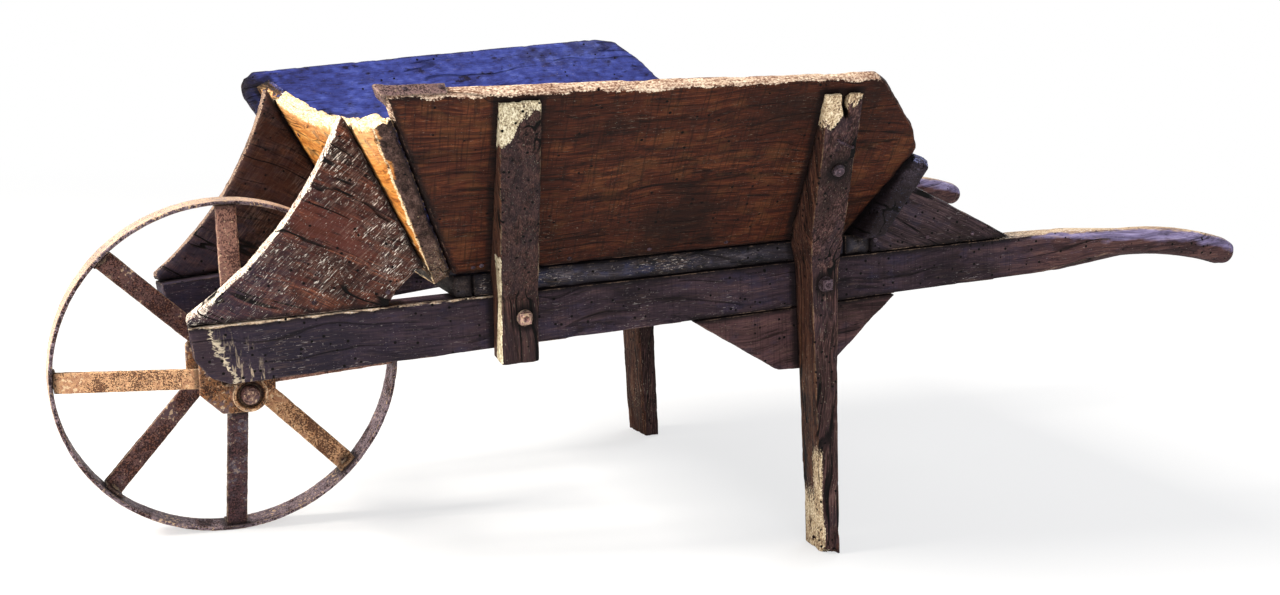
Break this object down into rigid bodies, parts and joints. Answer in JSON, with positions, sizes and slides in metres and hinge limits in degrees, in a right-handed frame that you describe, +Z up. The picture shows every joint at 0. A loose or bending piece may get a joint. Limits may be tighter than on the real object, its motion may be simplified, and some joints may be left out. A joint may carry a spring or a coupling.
{
  "type": "wooden wheelbarrow",
  "caption": "Old wooden wheelbarrow with an iron spoked wheel, long rails that end in handles, flared open tray, and legs it parks on.",
  "frame": {"origin": "on the ground, in the middle of the whole barrow's length and width; the wheel's middle plane is 4 mm left of it, as the right side is the taller one", "axes": "+X forward to the wheel, +Y to the left of the person pushing, +Z up"},
  "size_m": [1.8575, 0.9734, 0.7617],
  "materials": {
    "rusty_tyre": "rusty, worn bright in places",
    "rusty_spokes": "speckled rust",
    "dark_iron": "dark rusty iron",
    "rail_wood": "weathered, purplish brown",
    "dark_wood": "weathered, wormholes",
    "painted_boards": "stained reddish brown outside, worn blue paint inside",
    "worn_board": "raw worn front face, worn blue paint inside"
  },
  "bodies": {
    "frame": {"left_rail": "rail_wood", "right_rail": "rail_wood", "left_axle_eye": "dark_iron", "right_axle_eye": "dark_iron", "left_cheek": "dark_wood", "right_cheek": "dark_wood", "left_rear_cheek": "dark_wood", "right_rear_cheek": "dark_wood", "left_leg": "dark_wood", "right_leg": "dark_wood", "left_leg_brace": "dark_wood", "right_leg_brace": "dark_wood", "left_stake": "dark_wood", "right_stake": "dark_wood", "left_side": "painted_boards", "right_side": "painted_boards", "left_corner_strap": "dark_iron", "left_stake_bolt": "dark_iron", "right_stake_bolt": "dark_iron", "left_leg_bolts": "dark_iron", "right_leg_bolts": "dark_iron", "front_batten": "dark_wood", "rear_batten": "dark_wood", "front_bearer": "dark_wood", "middle_bearer": "dark_wood", "rear_bearer": "dark_wood", "front_board": "worn_board", "tailboard": "dark_wood", "floor_plank_1": "painted_boards", "floor_plank_2": "painted_boards", "floor_plank_3": "painted_boards", "floor_plank_4": "painted_boards"},
    "wheel": {"tyre": "rusty_tyre", "hub": "dark_iron", "axle": "dark_iron", "tyre_rivets": "dark_iron", "spoke_1": "rusty_spokes", "spoke_2": "rusty_spokes", "spoke_3": "rusty_spokes", "spoke_4": "rusty_spokes", "spoke_5": "rusty_spokes", "spoke_6": "rusty_spokes", "spoke_7": "rusty_spokes", "spoke_8": "rusty_spokes"}
  },
  "joints": [
    {"name": "wheel_spin", "type": "hinge", "parent": "frame", "child": "wheel", "pos_m": [0.6788, 0.00384, 0.25], "axis": [0, 1, 0], "continuous": true}
  ]
}
